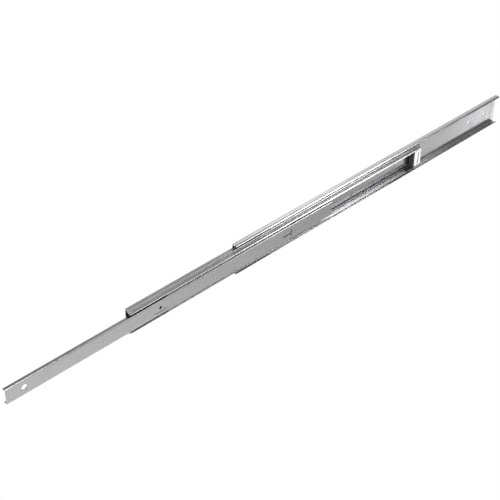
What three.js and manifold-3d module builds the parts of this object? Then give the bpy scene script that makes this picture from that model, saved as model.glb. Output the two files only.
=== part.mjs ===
// Full-extension ball bearing drawer slide, three telescopic members, shown partly pulled out.
// Units are millimetres. X runs along the slide and the drawer opens towards -X. Z is up.
// Y = 0 is the cabinet side's mounting face, and everything stands in front of it, towards -Y.
// The origin is the middle of that mounting face.
import * as THREE from 'three';
import { mergeVertices } from 'three/addons/utils/BufferGeometryUtils.js';
import Module from 'manifold-3d';

const wasm = await Module();
wasm.setup();

// ---- driving dimensions -------------------------------------------------------------------
const cabinetLength = 550;
const intermediateShortfall = 12;  // how much shorter than the cabinet member
const drawerShortfall = 22;
const slideHeight = 45.7;
const slideDepth = 12.7;

const cabinetSheet = 1.2;
const intermediateSheet = 1.0;
const drawerSheet = 1.2;
const retainerSheet = 0.6;

const ballRadius = 1.75;
const raceClearance = 0.2;
const ballWindowClearance = 0.25;
const ballPitch = 13.2;

const outerBallStandoff = 3.6;     // ball centre line in front of the intermediate's back face
const innerBallInset = 3.35;       // ball centre line behind the drawer face
const raceStep = 7.5;              // from the outer balls' height down to the inner balls'
const memberGap = 0.7;             // cabinet web to intermediate web

const intermediatePull = 184;      // how far each stage stands out as the part is modelled
const drawerPull = 171;
const intermediateSetback = 8;     // intermediate's front end behind the cabinet's, closed

const outerRetainerLength = 240;
const innerRetainerLength = 212;
const retainerSetback = 143.5;     // retainer's front end behind its member's, closed

const screwHoleRadius = 3.1;
const accessHoleRadius = 3.8;
const holeFromEnd = 25;
const holePitch = 37;
const endPadLength = 9;            // strip pressed forward at the cabinet member's rear end
const endPadRise = 0.35;
const endPadMargin = 6;

const drawerPadCentre = 225;       // raised pad round the drawer's own screw hole
const drawerPadLength = 24;
const drawerPadHeight = 13;
const drawerPadRise = 0.4;
const drawerScrewHoleRadius = 2.1;
const lanceFromRear = 94;          // T-shaped cut of the lanced stop
const lanceLength = 15;
const lanceWidth = 1.6;
const lanceHeight = 10.5;

const stopBlockLength = 13;
const bumperLength = 3;
const bumperInset = 0.4;           // bumper's edges inside the stop block's
const seatGap = 0.3;               // between pieces that are seated on each other

const arcSteps = 6;
const roundSteps = 24;
const deg = Math.PI / 180;
const cutMargin = 1;               // how far a cutting shape runs past the face it cuts

// ---- places worked out from the driving dimensions ------------------------------------------
const raceRadius = ballRadius + raceClearance;
const outerBallHeight = slideHeight / 2 - cabinetSheet - raceRadius;
const innerBallHeight = outerBallHeight - raceStep;
const intermediateBack = cabinetSheet + memberGap;
const intermediateWebFront = intermediateBack + intermediateSheet;
const outerBallDepth = intermediateBack + outerBallStandoff;
const innerBallDepth = slideDepth - innerBallInset;

const cabinetFront = -cabinetLength / 2;
const cabinetRear = cabinetLength / 2;
const intermediateLength = cabinetLength - intermediateShortfall;
const drawerLength = cabinetLength - drawerShortfall;
const intermediateClosed = cabinetFront + intermediateSetback;
const intermediateFront = intermediateClosed - intermediatePull;
const drawerClosed = cabinetFront;
const drawerFront = drawerClosed - intermediatePull - drawerPull;
const drawerRear = drawerFront + drawerLength;
const outerRetainerFront = intermediateClosed + retainerSetback - intermediatePull / 2;
const innerRetainerFront = intermediateFront + retainerSetback - drawerPull / 2;

// ---- materials ------------------------------------------------------------------------------
function zincSteel(colour, roughness) {
  return new THREE.MeshStandardMaterial({ color: colour, metalness: 0.9, roughness });
}
const cabinetSteel = zincSteel(0xc4c6c8, 0.34);
const intermediateSteel = zincSteel(0xbcbec0, 0.32);
const drawerSteel = zincSteel(0xb2b4b6, 0.36);
const retainerSteel = zincSteel(0xd2d3d4, 0.3);
const ballSteel = new THREE.MeshStandardMaterial({ color: 0xe2e3e4, metalness: 1, roughness: 0.08 });
const whiteNylon = new THREE.MeshStandardMaterial({ color: 0xeeeeea, metalness: 0, roughness: 0.5 });
const blackRubber = new THREE.MeshStandardMaterial({ color: 0x2c2c2c, metalness: 0, roughness: 0.85 });

const slide = new THREE.Group();

// ---- solids: joining and cutting --------------------------------------------------------------
function solid(geometry) {
  geometry.deleteAttribute('normal');
  geometry.deleteAttribute('uv');
  const merged = mergeVertices(geometry, 1e-5);
  return new wasm.Manifold(new wasm.Mesh({
    numProp: 3,
    vertProperties: Float32Array.from(merged.attributes.position.array),
    triVerts: Uint32Array.from(merged.index.array),
  }));
}

function addPiece(name, body, material) {
  const mesh = body.getMesh();
  const geometry = new THREE.BufferGeometry();
  geometry.setAttribute('position', new THREE.BufferAttribute(mesh.vertProperties, 3));
  geometry.setIndex(new THREE.BufferAttribute(mesh.triVerts, 1));
  geometry.computeVertexNormals();
  const piece = new THREE.Mesh(geometry, material);
  piece.name = name;
  slide.add(piece);
  return piece;
}

// A section is drawn as (depth in front of the mounting face, height) and runs along X.
const sectionToSlide = new THREE.Matrix4().makeBasis(
  new THREE.Vector3(0, -1, 0), new THREE.Vector3(0, 0, 1), new THREE.Vector3(-1, 0, 0));

function runAlong(shape, front, length) {
  const geometry = new THREE.ExtrudeGeometry(shape,
    { depth: length, bevelEnabled: false, curveSegments: arcSteps });
  geometry.applyMatrix4(sectionToSlide);
  geometry.translate(front + length, 0, 0);
  return solid(geometry);
}

// A block between two corners, given as x, depth and height.
function block(x0, x1, depth0, depth1, z0, z1) {
  const geometry = new THREE.BoxGeometry(x1 - x0, depth1 - depth0, z1 - z0);
  geometry.translate((x0 + x1) / 2, -(depth0 + depth1) / 2, (z0 + z1) / 2);
  return solid(geometry);
}

// A round bar along the depth, for screw holes, pads and pegs.
function roundBar(x, z, radius, depth0, depth1) {
  const geometry = new THREE.CylinderGeometry(radius, radius, depth1 - depth0, roundSteps);
  geometry.translate(x, -(depth0 + depth1) / 2, z);
  return solid(geometry);
}

// ---- roll-formed strip --------------------------------------------------------------------------
// A bend is an arc of the sheet's middle line: its centre, radius, first and last angle in degrees
// and whether it turns clockwise. The upper half of a section is a list of bends from the web to
// the free edge; the lower half is its mirror image.
const bend = (depth, height, radius, from, to) => ({ depth, height, radius, from, to, clockwise: to < from });

function stripSection(upperBends, sheet) {
  const mirrored = upperBends.map((b) => bend(b.depth, -b.height, b.radius, -b.to, -b.from)).reverse();
  const path = [...mirrored, ...upperBends];
  const shape = new THREE.Shape();
  for (const b of path) {
    const left = b.clockwise ? b.radius + sheet / 2 : b.radius - sheet / 2;
    shape.absarc(b.depth, b.height, left, b.from * deg, b.to * deg, b.clockwise);
  }
  for (const b of path.toReversed()) {
    const right = b.clockwise ? b.radius - sheet / 2 : b.radius + sheet / 2;
    shape.absarc(b.depth, b.height, right, b.to * deg, b.from * deg, !b.clockwise);
  }
  shape.closePath();
  return shape;
}

// ---- cabinet member: the outer channel, screwed to the cabinet side --------------------------------
const cabinetCorner = 1.6;
const cabinetLipAngle = 25;
const cabinetBends = [
  bend(cabinetSheet / 2 + cabinetCorner, slideHeight / 2 - cabinetSheet / 2 - cabinetCorner,
    cabinetCorner, 180, 90),
  bend(outerBallDepth, outerBallHeight, raceRadius + cabinetSheet / 2, 90, cabinetLipAngle),
];
const cabinetHoles = [
  cabinetFront + holeFromEnd,
  cabinetFront + holeFromEnd + holePitch,
  cabinetRear - holeFromEnd - holePitch,
  cabinetRear - holeFromEnd,
];

function cabinetMember() {
  const padHalfHeight = slideHeight / 2 - endPadMargin;
  const endPad = block(cabinetRear - endPadLength, cabinetRear, cabinetSheet / 2, cabinetSheet + endPadRise,
    -padHalfHeight, padHalfHeight);
  let member = runAlong(stripSection(cabinetBends, cabinetSheet), cabinetFront, cabinetLength).add(endPad);
  for (const x of cabinetHoles) {
    member = member.subtract(roundBar(x, 0, screwHoleRadius, -cutMargin, cabinetSheet + cutMargin));
  }
  return member;
}

addPiece('cabinet_member', cabinetMember(), cabinetSteel);

// ---- intermediate member: carries the outer balls on its shelf and the inner balls under its lip ----
// Each flange steps down from the outer race to the inner race through two crests and a valley.
const crestRadius = 0.8;
const frontCrestRadius = 0.7;
const valleyRadius = 0.8;
const outerGrooveRadius = raceRadius + intermediateSheet / 2;
const innerRaceRadius = raceRadius + intermediateSheet / 2;
const outerGrooveRise = 20;
const innerRaceStart = 95;
const intermediateLipAngle = 30;

function intermediateBends() {
  const crestDepth = intermediateBack + intermediateSheet / 2 + crestRadius;
  const crestReach = crestRadius + outerGrooveRadius;
  const crestTurn = Math.acos((outerBallDepth - crestDepth) / crestReach) / deg;
  const crestHeight = outerBallHeight - crestReach * Math.sin(crestTurn * deg);

  const frontCrestAngle = 270 + outerGrooveRise;
  const frontCrestReach = outerGrooveRadius + frontCrestRadius;
  const frontCrestDepth = outerBallDepth + frontCrestReach * Math.cos(frontCrestAngle * deg);
  const frontCrestHeight = outerBallHeight + frontCrestReach * Math.sin(frontCrestAngle * deg);

  const valleyReach = innerRaceRadius + valleyRadius;
  const valleyDepth = innerBallDepth + valleyReach * Math.cos(innerRaceStart * deg);
  const valleyHeight = innerBallHeight + valleyReach * Math.sin(innerRaceStart * deg);

  // The straight step touches the front crest and the valley, which turn opposite ways.
  const run = Math.hypot(valleyDepth - frontCrestDepth, valleyHeight - frontCrestHeight);
  const fall = Math.atan2(valleyHeight - frontCrestHeight, valleyDepth - frontCrestDepth);
  const stepAngle = (fall + Math.acos((frontCrestRadius + valleyRadius) / run)) / deg;

  return [
    bend(crestDepth, crestHeight, crestRadius, 180, crestTurn),
    bend(outerBallDepth, outerBallHeight, outerGrooveRadius, 180 + crestTurn, frontCrestAngle),
    bend(frontCrestDepth, frontCrestHeight, frontCrestRadius, frontCrestAngle - 180, stepAngle),
    bend(valleyDepth, valleyHeight, valleyRadius, 180 + stepAngle, 180 + innerRaceStart),
    bend(innerBallDepth, innerBallHeight, innerRaceRadius, innerRaceStart, intermediateLipAngle),
  ];
}

const pegRadius = 2.2;
const intermediateRear = intermediateFront + intermediateLength;
const stopBlockMiddle = intermediateRear - stopBlockLength / 2;

function intermediateMember() {
  const section = stripSection(intermediateBends(), intermediateSheet);
  const back = intermediateBack - cutMargin;
  const front = intermediateWebFront + cutMargin;
  const accessHoleX = intermediateFront + holeFromEnd - intermediateSetback;
  const accessHole = roundBar(accessHoleX, 0, accessHoleRadius, back, front);
  const pegHole = roundBar(stopBlockMiddle, 0, pegRadius + seatGap, back, front);
  return runAlong(section, intermediateFront, intermediateLength).subtract(accessHole).subtract(pegHole);
}

addPiece('intermediate_member', intermediateMember(), intermediateSteel);

// ---- drawer member: the inner channel, its web is the face the drawer side is screwed to ------------
const shoulderRadius = 0.8;
const drawerGrooveEnd = 230;

function drawerBends() {
  const grooveRadius = raceRadius + drawerSheet / 2;
  const shoulderDepth = slideDepth - drawerSheet / 2 - shoulderRadius;
  const reach = shoulderRadius + grooveRadius;
  const turn = Math.acos((shoulderDepth - innerBallDepth) / reach) / deg;
  const shoulderHeight = innerBallHeight - reach * Math.sin(turn * deg);
  return [
    bend(shoulderDepth, shoulderHeight, shoulderRadius, 0, 180 - turn),
    bend(innerBallDepth, innerBallHeight, grooveRadius, 360 - turn, drawerGrooveEnd),
  ];
}

function drawerMember() {
  const back = slideDepth - drawerSheet - cutMargin;
  const front = slideDepth + cutMargin;
  const padEnd = (drawerPadLength - drawerPadHeight) / 2;
  const padX = drawerFront + drawerPadCentre;
  // The pad is pressed back from the drawer face, so it shows as a shallow dish there.
  const dishShape = new THREE.Shape();
  dishShape.absarc(padX + padEnd, 0, drawerPadHeight / 2, -90 * deg, 90 * deg, false);
  dishShape.absarc(padX - padEnd, 0, drawerPadHeight / 2, 90 * deg, 270 * deg, false);
  dishShape.closePath();
  const dishGeometry = new THREE.ExtrudeGeometry(dishShape,
    { depth: drawerPadRise + cutMargin, bevelEnabled: false, curveSegments: arcSteps * 2 });
  dishGeometry.rotateX(90 * deg);
  dishGeometry.translate(0, drawerPadRise - slideDepth, 0);

  const lanceFront = drawerRear - lanceFromRear;
  const lanceEnd = lanceFront + lanceLength;
  const lanceTongue = block(lanceFront, lanceEnd, back, front, -lanceWidth * 1.5, -lanceWidth / 2);
  const lanceEdge = block(lanceEnd, lanceEnd + lanceWidth, back, front, -lanceHeight / 2, lanceHeight / 2);
  return runAlong(stripSection(drawerBends(), drawerSheet), drawerFront, drawerLength)
    .subtract(solid(dishGeometry))
    .subtract(roundBar(drawerFront + holeFromEnd, 0, accessHoleRadius, back, front))
    .subtract(roundBar(padX, 0, drawerScrewHoleRadius, back, front))
    .subtract(lanceTongue.add(lanceEdge));
}

addPiece('drawer_member', drawerMember(), drawerSteel);

// ---- balls and their retainers ---------------------------------------------------------------------
// Two groups of balls in each retainer, one from each end.
const firstBall = 18;
function ballStations(retainerFront, length, frontCount, rearCount) {
  const stations = [];
  for (let i = 0; i < frontCount; i += 1) {
    stations.push(retainerFront + firstBall + i * ballPitch);
  }
  for (let i = rearCount - 1; i >= 0; i -= 1) {
    stations.push(retainerFront + length - firstBall - i * ballPitch);
  }
  return stations;
}
const outerStations = ballStations(outerRetainerFront, outerRetainerLength, 4, 4);
const innerStations = ballStations(innerRetainerFront, innerRetainerLength, 7, 5);

const windowRadius = ballRadius + ballWindowClearance;
function cutBallWindows(retainer, stations, depth, height) {
  let cut = retainer;
  for (const x of stations) {
    const geometry = new THREE.CylinderGeometry(windowRadius, windowRadius, 4 * retainerSheet, roundSteps);
    geometry.rotateX(90 * deg);
    geometry.translate(x, -depth, height);
    cut = cut.subtract(solid(geometry));
  }
  return cut;
}

const windowMargin = 0.6;
function outerRetainer(height) {
  const halfWidth = windowRadius + windowMargin;
  const strip = block(outerRetainerFront, outerRetainerFront + outerRetainerLength,
    outerBallDepth - halfWidth, outerBallDepth + halfWidth,
    height - retainerSheet / 2, height + retainerSheet / 2);
  return cutBallWindows(strip, outerStations, outerBallDepth, height);
}

addPiece('outer_retainer_upper', outerRetainer(outerBallHeight), retainerSteel);
addPiece('outer_retainer_lower', outerRetainer(-outerBallHeight), retainerSteel);

// The inner retainer is one channel that passes behind the drawer member.
function innerRetainer() {
  const rear = innerRetainerFront + innerRetainerLength;
  const armFront = innerBallDepth + windowRadius + windowMargin;
  const webFront = innerBallDepth - windowRadius - windowMargin;
  const webBack = webFront - retainerSheet;
  const outside = innerBallHeight + retainerSheet / 2;
  const inside = outside - retainerSheet;
  const hollow = block(innerRetainerFront - cutMargin, rear + cutMargin, webFront, armFront + cutMargin,
    -inside, inside);
  const channel = block(innerRetainerFront, rear, webBack, armFront, -outside, outside).subtract(hollow);
  return cutBallWindows(
    cutBallWindows(channel, innerStations, innerBallDepth, innerBallHeight),
    innerStations, innerBallDepth, -innerBallHeight);
}

addPiece('inner_retainer', innerRetainer(), retainerSteel);

function addBalls(prefix, stations, depth, height) {
  stations.forEach((x, index) => {
    const ball = new THREE.Mesh(new THREE.SphereGeometry(ballRadius, 10, 6), ballSteel);
    ball.name = `${prefix}_${String(index + 1).padStart(2, '0')}`;
    ball.position.set(x, -depth, height);
    slide.add(ball);
  });
}

addBalls('outer_ball_upper', outerStations, outerBallDepth, outerBallHeight);
addBalls('outer_ball_lower', outerStations, outerBallDepth, -outerBallHeight);
addBalls('inner_ball_upper', innerStations, innerBallDepth, innerBallHeight);
addBalls('inner_ball_lower', innerStations, innerBallDepth, -innerBallHeight);

// ---- rear stop block and its bumper, in the rear end of the intermediate member ----------------------
const stopBlockRecess = 1.4;
const stopBlockFrontDepth = slideDepth - stopBlockRecess;
const stopBlockHalfHeight = innerBallHeight;
const slotWidth = 3.2;
const slotEndWall = 2.7;
const slotDepth = 5;
const pegInset = 1;

function stopBlock() {
  const front = intermediateRear - stopBlockLength;
  const slotHalfHeight = stopBlockHalfHeight - slotEndWall;
  const body = block(front, intermediateRear, intermediateWebFront + seatGap, stopBlockFrontDepth,
    -stopBlockHalfHeight, stopBlockHalfHeight);
  const slot = block(stopBlockMiddle - slotWidth / 2, stopBlockMiddle + slotWidth / 2,
    stopBlockFrontDepth - slotDepth, stopBlockFrontDepth + cutMargin, -slotHalfHeight, slotHalfHeight);
  const pegFrontDepth = stopBlockFrontDepth - slotDepth - pegInset;
  const peg = roundBar(stopBlockMiddle, 0, pegRadius, intermediateBack, pegFrontDepth);
  return body.subtract(slot).add(peg);
}

addPiece('rear_stop_block', stopBlock(), whiteNylon);

function bumper() {
  const rear = intermediateRear - stopBlockLength - seatGap;
  const halfHeight = stopBlockHalfHeight - bumperInset;
  return block(rear - bumperLength, rear, intermediateWebFront + seatGap, stopBlockFrontDepth - bumperInset,
    -halfHeight, halfHeight);
}

addPiece('rear_bumper', bumper(), blackRubber);

export default slide;
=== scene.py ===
# A three-member ball bearing drawer slide in bright zinc-plated steel, partly pulled out.
import math

import bmesh
import bpy
from mathutils import Matrix, Vector


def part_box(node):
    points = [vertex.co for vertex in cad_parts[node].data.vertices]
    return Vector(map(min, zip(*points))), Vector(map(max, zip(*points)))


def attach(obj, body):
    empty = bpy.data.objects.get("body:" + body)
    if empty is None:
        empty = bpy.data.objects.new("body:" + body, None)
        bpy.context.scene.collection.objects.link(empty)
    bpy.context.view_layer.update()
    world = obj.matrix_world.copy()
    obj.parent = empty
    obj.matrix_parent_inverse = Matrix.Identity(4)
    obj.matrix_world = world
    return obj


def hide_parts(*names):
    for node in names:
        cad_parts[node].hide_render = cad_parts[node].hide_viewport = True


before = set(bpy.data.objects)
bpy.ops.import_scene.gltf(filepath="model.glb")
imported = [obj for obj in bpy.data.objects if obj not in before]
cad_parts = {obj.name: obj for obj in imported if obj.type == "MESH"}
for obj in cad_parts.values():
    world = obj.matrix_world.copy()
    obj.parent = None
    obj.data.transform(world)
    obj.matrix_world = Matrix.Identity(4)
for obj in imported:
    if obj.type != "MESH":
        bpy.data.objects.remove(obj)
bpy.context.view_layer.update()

mm = 0.001


# ---- Cabinet member -------------------------------------------------------------------------
# The outer C channel, screwed flat to the cabinet side. It is rolled from 1.2 mm cold-rolled
# strip and zinc plated bright; its two lips curl round the outer balls as their race. The screw
# holes are punched before rolling, and the rear end is pressed forward as a stiffening pad.
bend_step = 7.5                    # degrees turned by each facet of a rolled bend
cut_edge_round = 0.1               # burr rolled off every cut edge, in millimetres


def roll_half_section(build, x, web_depth, sheet, bends):
    """Rolls the upper half of a section in the plane at x, from the middle of its web to its lip.

    Depths, heights and radii are in millimetres. Each bend is the depth and height of its centre,
    the radius of the sheet's middle line, and its first and last angle in degrees.
    """
    back = build.verts.new((x, (sheet / 2 - web_depth) * mm, 0))
    front = build.verts.new((x, (-sheet / 2 - web_depth) * mm, 0))
    free_edge = build.edges.new((back, front))
    for depth, height, radius, first, last in bends:
        first_point = Vector((x, -(depth + radius * math.cos(math.radians(first))) * mm,
                              (height + radius * math.sin(math.radians(first))) * mm))
        straight = first_point - (free_edge.verts[0].co + free_edge.verts[1].co) / 2
        if straight.length > 0.01 * mm:
            grown = bmesh.ops.extrude_edge_only(build, edges=[free_edge])["geom"]
            corners = [part for part in grown if isinstance(part, bmesh.types.BMVert)]
            bmesh.ops.translate(build, verts=corners, vec=straight)
            free_edge = build.edges.get(corners)
        rolled = bmesh.ops.spin(
            build, geom=[free_edge, *free_edge.verts], cent=(x, -depth * mm, height * mm), axis=(-1, 0, 0),
            angle=math.radians(last - first), steps=math.ceil(abs(last - first) / bend_step))
        free_edge = next(part for part in rolled["geom_last"] if isinstance(part, bmesh.types.BMEdge))


def drop_seam(build):
    """Takes out the seam that mirroring leaves along the middle of a web."""
    seam = [edge for edge in build.edges if all(abs(corner.co.z) < 0.001 * mm for corner in edge.verts)]
    bmesh.ops.dissolve_edges(build, edges=seam, use_verts=True)


def roll_channel(node, web_depth, sheet, bends):
    """A rolled channel as long as its CAD node, both flanges alike."""
    low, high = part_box(node)
    build = bmesh.new()
    roll_half_section(build, low.x, web_depth, sheet, bends)
    bmesh.ops.mirror(build, geom=build.verts[:] + build.edges[:] + build.faces[:], matrix=Matrix(),
                     merge_dist=0.001 * mm, axis="Z")
    grown = bmesh.ops.extrude_face_region(build, geom=build.faces[:])["geom"]
    bmesh.ops.translate(build, verts=[part for part in grown if isinstance(part, bmesh.types.BMVert)],
                        vec=(high.x - low.x, 0, 0))
    drop_seam(build)
    bmesh.ops.recalc_face_normals(build, faces=build.faces[:])
    return build


def cut_at(build, faces, place, direction):
    """Scores some faces along a plane, so that later cuts follow it."""
    edges = {edge for face in faces for edge in face.edges}
    corners = {corner for face in faces for corner in face.verts}
    bmesh.ops.bisect_plane(build, geom=[*faces, *edges, *corners], plane_co=place, plane_no=direction,
                           dist=0.001 * mm)


def flat_faces(build, low, high, across):
    """The faces square to an axis whose middles lie between two corners."""
    found = []
    for face in build.faces:
        middle = face.calc_center_median()
        if abs(face.normal[across]) > 0.999 and all(low[i] <= middle[i] <= high[i] for i in range(3)):
            found.append(face)
    return found


def mark_panel(build, low, high, across):
    """Scores a rectangle on both faces of a flat sheet and returns the faces inside it."""
    side = 3 - across              # the direction in the sheet that is square to X
    wide_low, wide_high = low.copy(), high.copy()
    wide_low[side], wide_high[side] = -1, 1
    for x in (low.x, high.x):
        cut_at(build, build.faces[:], (x, 0, 0), (1, 0, 0))
    for edge_place in (low[side], high[side]):
        place = Vector((0, 0, 0))
        place[side] = edge_place
        direction = Vector((0, 0, 0))
        direction[side] = 1
        cut_at(build, flat_faces(build, wide_low, wide_high, across), place, direction)
    return flat_faces(build, low, high, across)


def ring_of_corners(build, centre, spine, radius, across, facets=32):
    """A loop of corners round a circle, or round a long circle when it has a spine along X."""
    side = 3 - across
    corners = []
    for step in range(facets):
        angle = 2 * math.pi * (step + 0.5) / facets
        place = centre.copy()
        place.x += radius * math.cos(angle) + math.copysign(spine, math.cos(angle))
        place[side] += radius * math.sin(angle)
        corners.append(build.verts.new(place))
    return corners


def join_rings(build, first, second):
    """Bands two loops of corners together with four-sided faces."""
    for step in range(len(first)):
        after = (step + 1) % len(first)
        build.faces.new((first[step], first[after], second[after], second[step]))


def fill_round(build, outline, ring, across):
    """Fills the flat between an outline of edges and a loop of corners inside it."""
    edges = list(outline)
    for step in range(len(ring)):
        pair = (ring[step - 1], ring[step])
        edges.append(build.edges.get(pair) or build.edges.new(pair))
    direction = Vector((0, 0, 0))
    direction[across] = 1
    bmesh.ops.triangle_fill(build, use_beauty=True, use_dissolve=False, edges=edges, normal=direction)


def punch_hole(build, centre, across, radius, margin, facets=32):
    """Punches a round hole through a flat sheet, with a margin of flat round it."""
    reach = Vector((1, 1, 1)) * (radius + margin)
    reach[across] = 1 * mm
    rims = []
    for panel in mark_panel(build, centre - reach, centre + reach, across):
        level = centre.copy()
        level[across] = panel.verts[0].co[across]
        outline = panel.edges[:]
        rims.append(ring_of_corners(build, level, 0, radius, across, facets))
        bmesh.ops.delete(build, geom=[panel], context="FACES_ONLY")
        fill_round(build, outline, rims[-1], across)
    join_rings(build, *rims)
    bmesh.ops.recalc_face_normals(build, faces=build.faces[:])


def break_edges(build, offset=cut_edge_round):
    """Rounds over every sharp edge."""
    sharp = [edge for edge in build.edges if len(edge.link_faces) == 2
             and edge.calc_face_angle() > math.radians(60)]
    bmesh.ops.bevel(build, geom=sharp, offset=offset * mm, offset_type="OFFSET", segments=2, profile=0.5,
                    affect="EDGES", clamp_overlap=False, material=-1)


def finish_piece(build, name, paint):
    """Makes the piece's object, with smooth bends and flat webs that stay flat."""
    mesh = bpy.data.meshes.new(name)
    build.to_mesh(mesh)
    build.free()
    mesh.shade_smooth()
    mesh.set_sharp_from_angle(angle=math.radians(50))
    mesh.materials.append(paint)
    piece = bpy.data.objects.new(name, mesh)
    bpy.context.scene.collection.objects.link(piece)
    flatten = piece.modifiers.new("flat_webs", "WEIGHTED_NORMAL")
    flatten.keep_sharp = True
    return piece


def new_group(name, inputs, outputs):
    """A shader group with a vector input, named number inputs and named outputs."""
    group = bpy.data.node_groups.new(name, "ShaderNodeTree")
    group.interface.new_socket("Vector", in_out="INPUT", socket_type="NodeSocketVector")
    for label, value in inputs.items():
        socket = group.interface.new_socket(label, in_out="INPUT", socket_type="NodeSocketFloat")
        socket.default_value = value
    for label in outputs:
        group.interface.new_socket(label, in_out="OUTPUT", socket_type="NodeSocketFloat")
    entry = group.nodes.new("NodeGroupInput")
    result = group.nodes.new("NodeGroupOutput")
    return group, entry, result


def add_math(tree, operation, first, second):
    """A maths node, fed by sockets or plain numbers."""
    node = tree.nodes.new("ShaderNodeMath")
    node.operation = operation
    for socket, source in zip(node.inputs, (first, second)):
        if isinstance(source, bpy.types.NodeSocket):
            tree.links.new(source, socket)
        else:
            socket.default_value = source
    return node.outputs[0]


def add_noise(tree, vector, scale, detail, roughness):
    """A noise texture with its strength as output."""
    node = tree.nodes.new("ShaderNodeTexNoise")
    node.inputs["Scale"].default_value = scale
    node.inputs["Detail"].default_value = detail
    node.inputs["Roughness"].default_value = roughness
    tree.links.new(vector, node.inputs["Vector"])
    return node.outputs[0]


def add_stretch(tree, vector, scale, turn=(0, 0, 0)):
    """A mapping node that stretches and turns a pattern."""
    node = tree.nodes.new("ShaderNodeMapping")
    node.inputs["Scale"].default_value = scale
    node.inputs["Rotation"].default_value = turn
    tree.links.new(vector, node.inputs["Vector"])
    return node.outputs[0]


def add_range(tree, value, low, high, to_low=0.0, to_high=1.0):
    """Maps a value smoothly from one range to another."""
    node = tree.nodes.new("ShaderNodeMapRange")
    node.interpolation_type = "SMOOTHSTEP"
    tree.links.new(value, node.inputs["Value"])
    for label, amount in zip(("From Min", "From Max", "To Min", "To Max"), (low, high, to_low, to_high)):
        node.inputs[label].default_value = amount
    return node.outputs[0]


def make_rolling_grain():
    """Long fine lines that the rolls leave along the strip, with slow bands across it."""
    group, entry, result = new_group("rolling_grain", {"Line Density": 2600.0}, ("Lines", "Bands"))
    along = add_stretch(group, entry.outputs["Vector"], (0.012, 1, 1))
    lines = group.nodes.new("ShaderNodeTexNoise")
    lines.inputs["Detail"].default_value = 3
    lines.inputs["Roughness"].default_value = 0.65
    group.links.new(along, lines.inputs["Vector"])
    group.links.new(entry.outputs["Line Density"], lines.inputs["Scale"])
    group.links.new(lines.outputs[0], result.inputs["Lines"])
    slow = add_stretch(group, entry.outputs["Vector"], (0.06, 1, 1))
    group.links.new(add_noise(group, slow, 170, 2, 0.5), result.inputs["Bands"])
    return group


def make_handling_marks():
    """Fine crossing scratches and cloudy smears where the slide has been handled."""
    group, entry, result = new_group("handling_marks", {"Amount": 1.0}, ("Scratches", "Smears"))
    scratches = None
    for turn, stretch in ((0.5, 0.02), (-0.7, 0.03), (1.2, 0.02)):
        slanted = add_stretch(group, entry.outputs["Vector"], (1, 1, stretch), (0, turn, 0))
        layer = add_range(group, add_noise(group, slanted, 1500, 1, 0.4), 0.7, 0.78)
        scratches = layer if scratches is None else add_math(group, "MAXIMUM", scratches, layer)
    patches = add_range(group, add_noise(group, entry.outputs["Vector"], 26, 2, 0.5), 0.5, 0.68)
    seen = add_math(group, "MULTIPLY", scratches, patches)
    group.links.new(add_math(group, "MULTIPLY", seen, entry.outputs["Amount"]), result.inputs["Scratches"])
    smears = add_range(group, add_noise(group, entry.outputs["Vector"], 45, 4, 0.6), 0.42, 0.72)
    group.links.new(add_math(group, "MULTIPLY", smears, entry.outputs["Amount"]), result.inputs["Smears"])
    return group


def make_edge_wear():
    """A mask of convex edges, broken up, where the plating is rubbed bright."""
    group, entry, result = new_group("edge_wear", {"Reach": 0.0006}, ("Mask",))
    rounded = group.nodes.new("ShaderNodeBevel")
    rounded.samples = 4
    group.links.new(entry.outputs["Reach"], rounded.inputs["Radius"])
    true_normal = group.nodes.new("ShaderNodeNewGeometry")
    turned = group.nodes.new("ShaderNodeVectorMath")
    turned.operation = "DOT_PRODUCT"
    group.links.new(rounded.outputs[0], turned.inputs[0])
    group.links.new(true_normal.outputs["Normal"], turned.inputs[1])
    edges = add_range(group, add_math(group, "SUBTRACT", 1, turned.outputs["Value"]), 0.01, 0.12)
    broken = add_range(group, add_noise(group, entry.outputs["Vector"], 420, 3, 0.6), 0.35, 0.6)
    group.links.new(add_math(group, "MULTIPLY", edges, broken), result.inputs["Mask"])
    return group


rolling_grain = make_rolling_grain()
handling_marks = make_handling_marks()
edge_wear = make_edge_wear()


def place_group(tree, group, vector, **values):
    """Puts a shader group in a material and sets its own values."""
    node = tree.nodes.new("ShaderNodeGroup")
    node.node_tree = group
    tree.links.new(vector, node.inputs["Vector"])
    for label, value in values.items():
        node.inputs[label.replace("_", " ")].default_value = value
    return node


def mix_colour(tree, factor, first, second):
    """Mixes two colours, given as sockets or plain colours."""
    node = tree.nodes.new("ShaderNodeMix")
    node.data_type = "RGBA"
    for socket, source in ((node.inputs[0], factor), (node.inputs[6], first), (node.inputs[7], second)):
        if isinstance(source, bpy.types.NodeSocket):
            tree.links.new(source, socket)
        else:
            socket.default_value = source
    return node.outputs[2]


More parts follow.
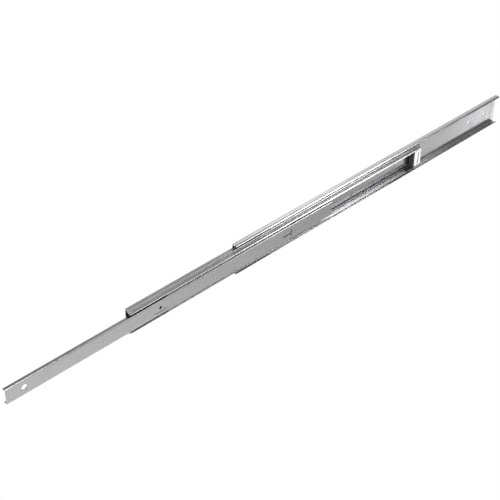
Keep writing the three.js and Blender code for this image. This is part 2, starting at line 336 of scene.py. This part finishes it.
def zinc_plated_steel(name, shade, roughness, grain_height=0.002, scratches=1.0):
    """Bright zinc on rolled strip: faintly lined along its length, smeared, rubbed at its edges."""
    paint = bpy.data.materials.new(name)
    paint.use_nodes = True
    tree = paint.node_tree
    shader = tree.nodes["Principled BSDF"]
    shader.inputs["Metallic"].default_value = 1.0
    shader.inputs["Specular Tint"].default_value = (0.5, 0.5, 0.51, 1)
    place = tree.nodes.new("ShaderNodeTexCoord").outputs["Object"]
    grain = place_group(tree, rolling_grain, place)
    marks = place_group(tree, handling_marks, place, Amount=scratches)
    worn = place_group(tree, edge_wear, place)

    plain = (shade, shade, shade * 1.012, 1)
    dull = (shade * 0.86, shade * 0.86, shade * 0.875, 1)
    bare = (min(1, shade * 1.25), min(1, shade * 1.245), min(1, shade * 1.23), 1)
    lined = mix_colour(tree, add_range(tree, grain.outputs["Lines"], 0.3, 0.7), dull, plain)
    banded = mix_colour(tree, add_range(tree, grain.outputs["Bands"], 0.35, 0.65, 0.0, 0.35), lined, plain)
    scratched = mix_colour(tree, marks.outputs["Scratches"], banded, bare)
    rubbed = mix_colour(tree, worn.outputs["Mask"], scratched, bare)
    tree.links.new(rubbed, shader.inputs["Base Color"])

    lined_roughness = add_range(tree, grain.outputs["Lines"], 0.3, 0.7, roughness + 0.04, roughness - 0.03)
    smeared = add_math(tree, "MULTIPLY", marks.outputs["Smears"], 0.07)
    roughened = add_math(tree, "ADD", lined_roughness, smeared)
    worn_smooth = add_math(tree, "MULTIPLY", worn.outputs["Mask"], 0.08)
    tree.links.new(add_math(tree, "SUBTRACT", roughened, worn_smooth), shader.inputs["Roughness"])

    height = add_math(tree, "SUBTRACT", grain.outputs["Lines"],
                      add_math(tree, "MULTIPLY", marks.outputs["Scratches"], 0.6))
    bump = tree.nodes.new("ShaderNodeBump")
    bump.inputs["Strength"].default_value = 0.5
    bump.inputs["Distance"].default_value = grain_height * mm
    tree.links.new(height, bump.inputs["Height"])
    tree.links.new(bump.outputs["Normal"], shader.inputs["Normal"])
    return paint


cabinet_low, cabinet_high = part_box("cabinet_member")
cabinet_sheet = 1.2
slide_height = (cabinet_high.z - cabinet_low.z) / mm
slide_depth = 12.7
ball_radius = 1.75
ball_clearance = 0.2
race_radius = ball_radius + ball_clearance
outer_ball_height = slide_height / 2 - cabinet_sheet - race_radius
member_gap = 0.7
intermediate_back = cabinet_sheet + member_gap
outer_ball_inset = 3.6
outer_ball_depth = intermediate_back + outer_ball_inset
cabinet_corner = 1.6
cabinet_lip_angle = 25
cabinet_hole_radius = 3.1
hole_from_end = 25
hole_pitch = 37
hole_margin = 1.5                  # flat metal kept round a punched hole
end_pad_length = 9
end_pad_rise = 0.35
end_pad_margin = 6

cabinet_build = roll_channel("cabinet_member", cabinet_sheet / 2, cabinet_sheet, (
    (cabinet_sheet / 2 + cabinet_corner, slide_height / 2 - cabinet_sheet / 2 - cabinet_corner,
     cabinet_corner, 180, 90),
    (outer_ball_depth, outer_ball_height, race_radius + cabinet_sheet / 2, 90, cabinet_lip_angle),
))
for end, inwards in ((cabinet_low.x, 1), (cabinet_high.x, -1)):
    for from_end in (hole_from_end, hole_from_end + hole_pitch):
        hole_place = Vector((end + inwards * from_end * mm, -cabinet_sheet / 2 * mm, 0))
        punch_hole(cabinet_build, hole_place, 1, cabinet_hole_radius * mm, hole_margin * mm)
end_pad_half = slide_height / 2 - end_pad_margin
pad_low = Vector((cabinet_high.x - end_pad_length * mm, -(cabinet_sheet + 0.1) * mm, -end_pad_half * mm))
pad_high = Vector((cabinet_high.x + 1 * mm, -(cabinet_sheet - 0.1) * mm, end_pad_half * mm))
end_pad = mark_panel(cabinet_build, pad_low, pad_high, 1)
raised = bmesh.ops.extrude_face_region(cabinet_build, geom=end_pad)["geom"]
raised_corners = [part for part in raised if isinstance(part, bmesh.types.BMVert)]
bmesh.ops.translate(cabinet_build, verts=raised_corners, vec=(0, -end_pad_rise * mm, 0))
break_edges(cabinet_build)
cabinet_steel = zinc_plated_steel("cabinet_steel", shade=0.56, roughness=0.2)
cabinet_channel = finish_piece(cabinet_build, "cabinet_channel", cabinet_steel)
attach(cabinet_channel, "cabinet")
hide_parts("cabinet_member")


# ---- Outer ball retainers ---------------------------------------------------------------------
# Two thin steel strips that hold the outer balls in line, each between a cabinet lip and the
# intermediate member. Every ball sits in its own stamped window.
retainer_sheet = 0.6
window_radius = ball_radius + 0.25
window_margin = 0.3
window_facets = 24
retainer_edge_round = 0.08
outer_ball_count = 8


def ball_centres(prefix, count):
    """The middles of a row of balls, from the frame."""
    centres = []
    for number in range(1, count + 1):
        low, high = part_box(f"{prefix}_{number:02d}")
        centres.append((low + high) / 2)
    return centres


def straight_bar(low, high):
    """A rectangular bar between two corners."""
    build = bmesh.new()
    bmesh.ops.create_cube(build, size=1)
    bmesh.ops.scale(build, verts=build.verts[:], vec=high - low)
    bmesh.ops.translate(build, verts=build.verts[:], vec=(low + high) / 2)
    return build


retainer_steel = zinc_plated_steel("retainer_steel", shade=0.7, roughness=0.24, grain_height=0.003,
                                   scratches=0.5)
for side in ("upper", "lower"):
    retainer_build = straight_bar(*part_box(f"outer_retainer_{side}"))
    for centre in ball_centres(f"outer_ball_{side}", outer_ball_count):
        punch_hole(retainer_build, centre, 2, window_radius * mm, window_margin * mm, window_facets)
    break_edges(retainer_build, retainer_edge_round)
    retainer = finish_piece(retainer_build, f"outer_ball_strip_{side}", retainer_steel)
    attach(retainer, "outer_retainer")
    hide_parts(f"outer_retainer_{side}")


# ---- Outer balls ---------------------------------------------------------------------------------
# Hardened 3.5 mm bearing balls, ground and polished, with a thin film of grease on them.
def bearing_steel():
    """Polished steel, dimmed in patches by its grease."""
    paint = bpy.data.materials.new("bearing_steel")
    paint.use_nodes = True
    tree = paint.node_tree
    shader = tree.nodes["Principled BSDF"]
    shader.inputs["Metallic"].default_value = 1.0
    place = tree.nodes.new("ShaderNodeTexCoord").outputs["Object"]
    film = add_noise(tree, place, 900, 3, 0.55)
    colour = mix_colour(tree, add_range(tree, film, 0.35, 0.65), (0.74, 0.74, 0.73, 1), (0.82, 0.82, 0.83, 1))
    tree.links.new(colour, shader.inputs["Base Color"])
    tree.links.new(add_range(tree, film, 0.35, 0.7, 0.07, 0.2), shader.inputs["Roughness"])
    return paint


def place_balls(prefix, count, body):
    """A row of finished balls where the CAD balls are."""
    for number, centre in enumerate(ball_centres(prefix, count), start=1):
        build = bmesh.new()
        bmesh.ops.create_uvsphere(build, u_segments=24, v_segments=14, radius=ball_radius * mm)
        bmesh.ops.translate(build, verts=build.verts[:], vec=centre)
        ball = finish_piece(build, f"{prefix}_polished_{number:02d}", ball_steel)
        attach(ball, body)
        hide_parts(f"{prefix}_{number:02d}")


ball_steel = bearing_steel()
place_balls("outer_ball_upper", outer_ball_count, "outer_retainer")
place_balls("outer_ball_lower", outer_ball_count, "outer_retainer")


# ---- Intermediate member --------------------------------------------------------------------------
# The stepped double channel between the other two, rolled from 1 mm zinc-plated strip. The groove
# of each flange runs on the outer balls, and the lip further in is the race of the inner ones.
intermediate_low, intermediate_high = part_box("intermediate_member")
intermediate_sheet = 1.0
intermediate_race = race_radius + intermediate_sheet / 2
race_step = 7.5
inner_ball_inset = 3.35
inner_ball_height = outer_ball_height - race_step
inner_ball_depth = slide_depth - inner_ball_inset
crest_radius = 0.8
front_crest_radius = 0.7
valley_radius = 0.8
groove_rise = 20
inner_race_start = 95
intermediate_lip_angle = 30
intermediate_setback = 8
access_hole_radius = 3.8
peg_hole_radius = 2.5
stop_block_length = 13


def intermediate_bends():
    """Crest, outer groove, front crest, valley and inner race, each rolled into the next."""
    crest_depth = intermediate_back + intermediate_sheet / 2 + crest_radius
    crest_reach = crest_radius + intermediate_race
    crest_turn = math.acos((outer_ball_depth - crest_depth) / crest_reach)
    crest_height = outer_ball_height - crest_reach * math.sin(crest_turn)
    crest_turn = math.degrees(crest_turn)

    front_crest_angle = 270 + groove_rise
    front_crest_reach = intermediate_race + front_crest_radius
    front_crest_depth = outer_ball_depth + front_crest_reach * math.cos(math.radians(front_crest_angle))
    front_crest_height = outer_ball_height + front_crest_reach * math.sin(math.radians(front_crest_angle))

    valley_reach = intermediate_race + valley_radius
    valley_depth = inner_ball_depth + valley_reach * math.cos(math.radians(inner_race_start))
    valley_height = inner_ball_height + valley_reach * math.sin(math.radians(inner_race_start))
    run = math.hypot(valley_depth - front_crest_depth, valley_height - front_crest_height)
    fall = math.atan2(valley_height - front_crest_height, valley_depth - front_crest_depth)
    step_angle = math.degrees(fall + math.acos((front_crest_radius + valley_radius) / run))
    return (
        (crest_depth, crest_height, crest_radius, 180, crest_turn),
        (outer_ball_depth, outer_ball_height, intermediate_race, 180 + crest_turn, front_crest_angle),
        (front_crest_depth, front_crest_height, front_crest_radius, front_crest_angle - 180, step_angle),
        (valley_depth, valley_height, valley_radius, 180 + step_angle, 180 + inner_race_start),
        (inner_ball_depth, inner_ball_height, intermediate_race, inner_race_start, intermediate_lip_angle),
    )


intermediate_web = intermediate_back + intermediate_sheet / 2
intermediate_build = roll_channel("intermediate_member", intermediate_web, intermediate_sheet,
                                  intermediate_bends())
access_hole_x = intermediate_low.x + (hole_from_end - intermediate_setback) * mm
stop_block_x = intermediate_high.x - stop_block_length / 2 * mm
for hole_x, hole_radius in ((access_hole_x, access_hole_radius), (stop_block_x, peg_hole_radius)):
    hole_place = Vector((hole_x, -intermediate_web * mm, 0))
    punch_hole(intermediate_build, hole_place, 1, hole_radius * mm, hole_margin * mm)
break_edges(intermediate_build)
intermediate_steel = zinc_plated_steel("intermediate_steel", shade=0.55, roughness=0.2)
intermediate_channel = finish_piece(intermediate_build, "intermediate_channel", intermediate_steel)
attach(intermediate_channel, "intermediate")
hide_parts("intermediate_member")


# ---- Inner ball retainer ----------------------------------------------------------------------------
# One thin steel channel that passes behind the drawer member. Its two arms reach forward between
# the inner races and hold the inner balls in stamped windows.
inner_retainer_low, inner_retainer_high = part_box("inner_retainer")
retainer_corner = 0.6
inner_ball_count = 12
inner_web_depth = -inner_retainer_high.y / mm + retainer_sheet / 2
arm_front = -inner_retainer_low.y / mm
arm_height = inner_retainer_high.z / mm - retainer_sheet / 2


def roll_retainer():
    """The retainer's channel section: a web, two tight corners and two flat arms."""
    build = bmesh.new()
    x = inner_retainer_low.x
    roll_half_section(build, x, inner_web_depth, retainer_sheet, (
        (inner_web_depth + retainer_corner, arm_height - retainer_corner, retainer_corner, 180, 90),))
    ends = [edge for edge in build.edges if edge.is_boundary
            and all(corner.co.y < -(inner_web_depth + retainer_corner - 0.01) * mm for corner in edge.verts)]
    grown = bmesh.ops.extrude_edge_only(build, edges=ends)["geom"]
    bmesh.ops.translate(build, verts=[part for part in grown if isinstance(part, bmesh.types.BMVert)],
                        vec=(0, -(arm_front - inner_web_depth - retainer_corner) * mm, 0))
    bmesh.ops.mirror(build, geom=build.verts[:] + build.edges[:] + build.faces[:], matrix=Matrix(),
                     merge_dist=0.001 * mm, axis="Z")
    grown = bmesh.ops.extrude_face_region(build, geom=build.faces[:])["geom"]
    bmesh.ops.translate(build, verts=[part for part in grown if isinstance(part, bmesh.types.BMVert)],
                        vec=(inner_retainer_high.x - x, 0, 0))
    drop_seam(build)
    bmesh.ops.recalc_face_normals(build, faces=build.faces[:])
    return build


inner_retainer_build = roll_retainer()
for side in ("upper", "lower"):
    for centre in ball_centres(f"inner_ball_{side}", inner_ball_count):
        punch_hole(inner_retainer_build, centre, 2, window_radius * mm, window_margin * mm, window_facets)
break_edges(inner_retainer_build, retainer_edge_round)
inner_cage = finish_piece(inner_retainer_build, "inner_ball_cage", retainer_steel)
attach(inner_cage, "inner_retainer")
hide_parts("inner_retainer")


# ---- Inner balls ---------------------------------------------------------------------------------------
# The same bearing balls as the outer ones, twelve above and twelve below.
place_balls("inner_ball_upper", inner_ball_count, "inner_retainer")
place_balls("inner_ball_lower", inner_ball_count, "inner_retainer")


# ---- Rear stop block --------------------------------------------------------------------------------------
# A moulded white nylon block that plugs the rear end of the intermediate member. A round peg on its
# back snaps through the web, and a deep slot lets its front face give when the drawer closes on it.
block_low, block_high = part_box("rear_stop_block")
block_clearance = 0.3
block_back = -(intermediate_back + intermediate_sheet + block_clearance)
block_edge_round = 0.35
peg_radius = 2.2
peg_margin = 0.8
slot_width = 3.2
slot_end_wall = 2.7
slot_depth = 5


def moulded_plastic(name, colour, dark_colour, roughness, dimple):
    """Moulded plastic with a fine matt texture, cloudy in tone and lighter along its rubbed edges."""
    paint = bpy.data.materials.new(name)
    paint.use_nodes = True
    tree = paint.node_tree
    shader = tree.nodes["Principled BSDF"]
    place = tree.nodes.new("ShaderNodeTexCoord").outputs["Object"]
    marks = place_group(tree, handling_marks, place, Amount=0.6)
    worn = place_group(tree, edge_wear, place, Reach=0.0005)
    cloud = add_range(tree, add_noise(tree, place, 160, 4, 0.6), 0.3, 0.75)
    base = mix_colour(tree, cloud, (*dark_colour, 1), (*colour, 1))
    light = tuple(min(1.0, part * 1.15 + 0.02) for part in colour)
    tree.links.new(mix_colour(tree, worn.outputs["Mask"], base, (*light, 1)), shader.inputs["Base Color"])
    smeared = add_math(tree, "MULTIPLY", marks.outputs["Smears"], 0.12)
    tree.links.new(add_math(tree, "ADD", smeared, roughness), shader.inputs["Roughness"])
    bump = tree.nodes.new("ShaderNodeBump")
    bump.inputs["Strength"].default_value = 0.4
    bump.inputs["Distance"].default_value = dimple * mm
    tree.links.new(add_noise(tree, place, 3800, 2, 0.5), bump.inputs["Height"])
    tree.links.new(bump.outputs["Normal"], shader.inputs["Normal"])
    return paint


def mould_stop_block():
    """The block with its slot and its peg."""
    build = straight_bar(block_low, Vector((block_high.x, block_back * mm, block_high.z)))
    bmesh.ops.recalc_face_normals(build, faces=build.faces[:])
    middle = (block_low + block_high) / 2
    slot_half = (block_high.z - block_low.z) / 2 - slot_end_wall * mm
    slot_low = Vector((middle.x - slot_width / 2 * mm, block_low.y - 0.1 * mm, -slot_half))
    slot_high = Vector((middle.x + slot_width / 2 * mm, block_low.y + 0.1 * mm, slot_half))
    slot_face = mark_panel(build, slot_low, slot_high, 1)
    grown = bmesh.ops.extrude_face_region(build, geom=slot_face)["geom"]
    bmesh.ops.translate(build, verts=[part for part in grown if isinstance(part, bmesh.types.BMVert)],
                        vec=(0, slot_depth * mm, 0))
    peg_reach = peg_radius + peg_margin
    peg_low = Vector((middle.x - peg_reach * mm, block_back * mm - 0.1 * mm, -peg_reach * mm))
    peg_high = Vector((middle.x + peg_reach * mm, block_back * mm + 0.1 * mm, peg_reach * mm))
    peg_face = mark_panel(build, peg_low, peg_high, 1)
    peg_outline = peg_face[0].edges[:]
    peg_rim = ring_of_corners(build, Vector((middle.x, block_back * mm, 0)), 0, peg_radius * mm, 1, 24)
    bmesh.ops.delete(build, geom=peg_face, context="FACES_ONLY")
    fill_round(build, peg_outline, peg_rim, 1)
    grown = bmesh.ops.extrude_face_region(build, geom=[build.faces.new(peg_rim)])["geom"]
    bmesh.ops.translate(build, verts=[part for part in grown if isinstance(part, bmesh.types.BMVert)],
                        vec=(0, (-intermediate_back - block_back) * mm, 0))
    bmesh.ops.recalc_face_normals(build, faces=build.faces[:])
    break_edges(build, block_edge_round)
    return build


white_nylon = moulded_plastic("white_nylon", (0.84, 0.84, 0.82), (0.76, 0.76, 0.74), 0.42, 0.02)
stop_block = finish_piece(mould_stop_block(), "nylon_stop_block", white_nylon)
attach(stop_block, "intermediate")
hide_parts("rear_stop_block")


# ---- Rear bumper -------------------------------------------------------------------------------------------
# A black rubber pad on the front face of the stop block. It quietens the drawer member's rear end.
bumper_edge_round = 0.6
bumper_build = straight_bar(*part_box("rear_bumper"))
break_edges(bumper_build, bumper_edge_round)
black_rubber = moulded_plastic("black_rubber", (0.032, 0.032, 0.033), (0.02, 0.02, 0.021), 0.62, 0.03)
bumper_pad = finish_piece(bumper_build, "rubber_bumper_pad", black_rubber)
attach(bumper_pad, "intermediate")
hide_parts("rear_bumper")


# ---- Drawer member -----------------------------------------------------------------------------------------
# The inner channel, rolled from 1.2 mm strip. Its web is screwed to the drawer side and its rounded
# shoulders run on the inner balls. A pressed pad surrounds its screw hole, and a T-shaped cut
# frees the tongue that stops the retainer.
drawer_low, drawer_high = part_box("drawer_member")
drawer_sheet = 1.2
shoulder_radius = 0.8
drawer_groove_end = 230
drawer_pad_centre = 225
drawer_pad_length = 24
drawer_pad_height = 13
drawer_pad_press = 0.4
drawer_pad_slope = ((0, 0), (0.6, 0.15), (1.4, 0.85), (2.0, 1))  # millimetres in, share of the press
drawer_screw_radius = 2.1
front_hole_margin = 1.2
lance_from_rear = 94
lance_length = 15
lance_width = 1.6
lance_height = 10.5


def drawer_bends():
    """Shoulder and groove, rolled one into the other."""
    groove_radius = race_radius + drawer_sheet / 2
    shoulder_depth = slide_depth - drawer_sheet / 2 - shoulder_radius
    reach = shoulder_radius + groove_radius
    turn = math.acos((shoulder_depth - inner_ball_depth) / reach)
    shoulder_height = inner_ball_height - reach * math.sin(turn)
    turn = math.degrees(turn)
    return (
        (shoulder_depth, shoulder_height, shoulder_radius, 0, 180 - turn),
        (inner_ball_depth, inner_ball_height, groove_radius, 360 - turn, drawer_groove_end),
    )


def press_pad(build, centre, spine, radius, hole_radius):
    """Presses a long round pad back out of the web, with soft sloping sides and a screw hole."""
    reach = Vector((spine + radius + 1.5 * mm, 1 * mm, radius + 0.6 * mm))
    holes = []
    for panel in mark_panel(build, centre - reach, centre + reach, 1):
        level = centre.copy()
        level.y = panel.verts[0].co.y
        outline = panel.edges[:]
        bmesh.ops.delete(build, geom=[panel], context="FACES_ONLY")
        rings = []
        for inset, press in drawer_pad_slope:
            level_pressed = level + Vector((0, press * drawer_pad_press * mm, 0))
            rings.append(ring_of_corners(build, level_pressed, spine, radius - inset * mm, 1))
        holes.append(ring_of_corners(build, level_pressed, 0, hole_radius, 1))
        fill_round(build, outline, rings[0], 1)
        for ring, next_ring in zip(rings, rings[1:]):
            join_rings(build, ring, next_ring)
        last = [build.edges.get((rings[-1][step - 1], rings[-1][step])) for step in range(len(rings[-1]))]
        fill_round(build, last, holes[-1], 1)
    join_rings(build, *holes)
    bmesh.ops.recalc_face_normals(build, faces=build.faces[:])


def cut_slots(build, web_depth, slots):
    """Cuts joined rectangular slots through the web, each given as its low and high x and height."""
    panels = [(Vector((x0, -(web_depth + 1) * mm, z0)), Vector((x1, -(web_depth - 1) * mm, z1)))
              for x0, x1, z0, z1 in slots]
    for low, high in panels:
        mark_panel(build, low, high, 1)
    cut_faces = set()
    for low, high in panels:
        cut_faces.update(flat_faces(build, low, high, 1))
    inside = {edge for face in cut_faces for edge in face.edges
              if all(neighbour in cut_faces for neighbour in edge.link_faces)}
    rims = [edge for edge in {edge for face in cut_faces for edge in face.edges} if edge not in inside]
    bmesh.ops.delete(build, geom=list(cut_faces) + list(inside), context="FACES")
    bmesh.ops.bridge_loops(build, edges=[edge for edge in rims if edge.is_valid])


drawer_web = slide_depth - drawer_sheet / 2
drawer_build = roll_channel("drawer_member", drawer_web, drawer_sheet, drawer_bends())
front_hole = Vector((drawer_low.x + hole_from_end * mm, -drawer_web * mm, 0))
punch_hole(drawer_build, front_hole, 1, access_hole_radius * mm, front_hole_margin * mm)
pad_centre = Vector((drawer_low.x + drawer_pad_centre * mm, -drawer_web * mm, 0))
pad_spine = (drawer_pad_length - drawer_pad_height) / 2 * mm
press_pad(drawer_build, pad_centre, pad_spine, drawer_pad_height / 2 * mm, drawer_screw_radius * mm)
lance_front = drawer_high.x - lance_from_rear * mm
lance_end = lance_front + lance_length * mm
cut_slots(drawer_build, drawer_web, (
    (lance_front, lance_end, -1.5 * lance_width * mm, -0.5 * lance_width * mm),
    (lance_end, lance_end + lance_width * mm, -lance_height / 2 * mm, lance_height / 2 * mm),
))
break_edges(drawer_build)
drawer_steel = zinc_plated_steel("drawer_steel", shade=0.54, roughness=0.22)
drawer_channel = finish_piece(drawer_build, "drawer_channel", drawer_steel)
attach(drawer_channel, "drawer")
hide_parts("drawer_member")


# ---- Studio --------------------------------------------------------------------------------------------
# A pale floor well below the slide; floor and world show plain white to the camera only. The webs
# mirror the floor and the low cards towards the rear, the upper flanges the cards behind, and the
# rounded lips those in front. A long lens looks down from the slide's front left.
floor_level = -0.6
floor_build = bmesh.new()
bmesh.ops.create_grid(floor_build, x_segments=1, y_segments=1, size=12.0)
floor_mesh = bpy.data.meshes.new("floor")
floor_build.to_mesh(floor_mesh)
floor_build.free()
floor_mesh.transform(Matrix.Translation((0, 0, floor_level)))
floor = bpy.data.objects.new("floor", floor_mesh)
bpy.context.scene.collection.objects.link(floor)


def white_to_camera(tree, shade, output, white):
    """Shows a surface as plain white to the camera, while it lights the slide with its own shade."""
    ray = tree.nodes.new("ShaderNodeLightPath")
    chosen = tree.nodes.new("ShaderNodeMixShader")
    tree.links.new(ray.outputs["Is Camera Ray"], chosen.inputs[0])
    tree.links.new(shade, chosen.inputs[1])
    tree.links.new(white, chosen.inputs[2])
    tree.links.new(chosen.outputs[0], output.inputs["Surface"])


floor_paint = bpy.data.materials.new("floor_paint")
floor_paint.use_nodes = True
floor_tree = floor_paint.node_tree
floor_shader = floor_tree.nodes["Principled BSDF"]
floor_shader.inputs["Base Color"].default_value = (0.75, 0.75, 0.75, 1)
floor_shader.inputs["Roughness"].default_value = 0.9
floor_shader.inputs["Specular IOR Level"].default_value = 0.1
floor_white = floor_tree.nodes.new("ShaderNodeEmission")
white_to_camera(floor_tree, floor_shader.outputs[0], floor_tree.nodes["Material Output"],
                floor_white.outputs[0])
floor_mesh.materials.append(floor_paint)

studio = bpy.data.worlds.new("studio")
studio.use_nodes = True
studio_tree = studio.node_tree
studio_light = studio_tree.nodes["Background"]
studio_light.inputs["Color"].default_value = (1, 1, 1, 1)
studio_light.inputs["Strength"].default_value = 0.28
studio_white = studio_tree.nodes.new("ShaderNodeBackground")
studio_white.inputs["Color"].default_value = (1, 1, 1, 1)
white_to_camera(studio_tree, studio_light.outputs[0], studio_tree.nodes["World Output"],
                studio_white.outputs[0])
bpy.context.scene.world = studio
bpy.context.scene.view_settings.view_transform = "Standard"


def softbox(name, place, aim, width, height, power):
    """A rectangular area light at a place, aimed at a point."""
    light = bpy.data.lights.new(name, "AREA")
    light.shape = "RECTANGLE"
    light.size = width
    light.size_y = height
    light.energy = power
    lamp = bpy.data.objects.new(name, light)
    lamp.location = place
    lamp.rotation_euler = (Vector(aim) - Vector(place)).to_track_quat("-Z", "Y").to_euler()
    lamp.visible_camera = False
    bpy.context.scene.collection.objects.link(lamp)


softbox("floor_softbox", (-0.5, -0.8, 0.5), (0, -0.6, -0.6), 0.6, 0.6, 12)
softbox("low_left_softbox", (-0.95, 0.46, -0.46), (-0.42, 0, 0), 0.6, 0.5, 1.2)
softbox("low_right_softbox", (0.97, -0.45, -0.46), (0.37, 0, 0), 0.4, 0.4, 0.05)
softbox("low_rear_softbox", (0.93, -0.4, -0.41), (0.3, 0, 0), 0.17, 0.4, 0.3)
softbox("low_middle_softbox", (0.63, -0.44, -0.45), (0.06, 0, 0), 0.12, 0.3, 0.05)
softbox("back_softbox", (0.87, 0.70, 0.72), (0.2, 0, 0), 0.7, 0.7, 1.3)
softbox("back_fill", (0.22, 0.72, 0.74), (-0.45, 0, 0), 0.75, 0.8, 0.9)
softbox("front_softbox", (0.3, -0.52, 0.42), (-0.16, 0, 0), 0.24, 0.34, 0.8)
softbox("front_key", (0.52, -0.53, 0.5), (0.05, 0, 0), 0.26, 0.3, 1.6)
softbox("overhead_softbox", (0.47, -0.14, 0.68), (0.02, 0, 0), 0.3, 0.22, 0.5)
softbox("under_softbox", (0.22, 0.05, -0.5), (-0.12, 0, 0), 0.5, 0.3, 1.0)
softbox("left_fill", (-1.7, -0.7, 0.1), (-0.5, 0, 0), 0.6, 0.6, 3)
softbox("front_fill", (-0.07, -0.52, 0.4), (-0.55, 0, 0), 0.3, 0.4, 0.4)

camera_data = bpy.data.cameras.new("studio_camera")
camera_data.sensor_width = 36.0
camera_data.lens = 87.4
camera_data.clip_end = 50.0
camera = bpy.data.objects.new("studio_camera", camera_data)
bpy.context.scene.collection.objects.link(camera)
camera.location = (-1.1214, -0.8953, 0.9255)
camera_azimuth = math.radians(-44.457)
camera_elevation = math.radians(36.527)
camera_roll = math.radians(0.304)
camera_turn = (Matrix.Rotation(camera_azimuth, 3, "Z")
               @ Matrix.Rotation(math.pi / 2 - camera_elevation, 3, "X")
               @ Matrix.Rotation(camera_roll, 3, "Z"))
camera.rotation_euler = camera_turn.to_euler()
bpy.context.scene.camera = camera
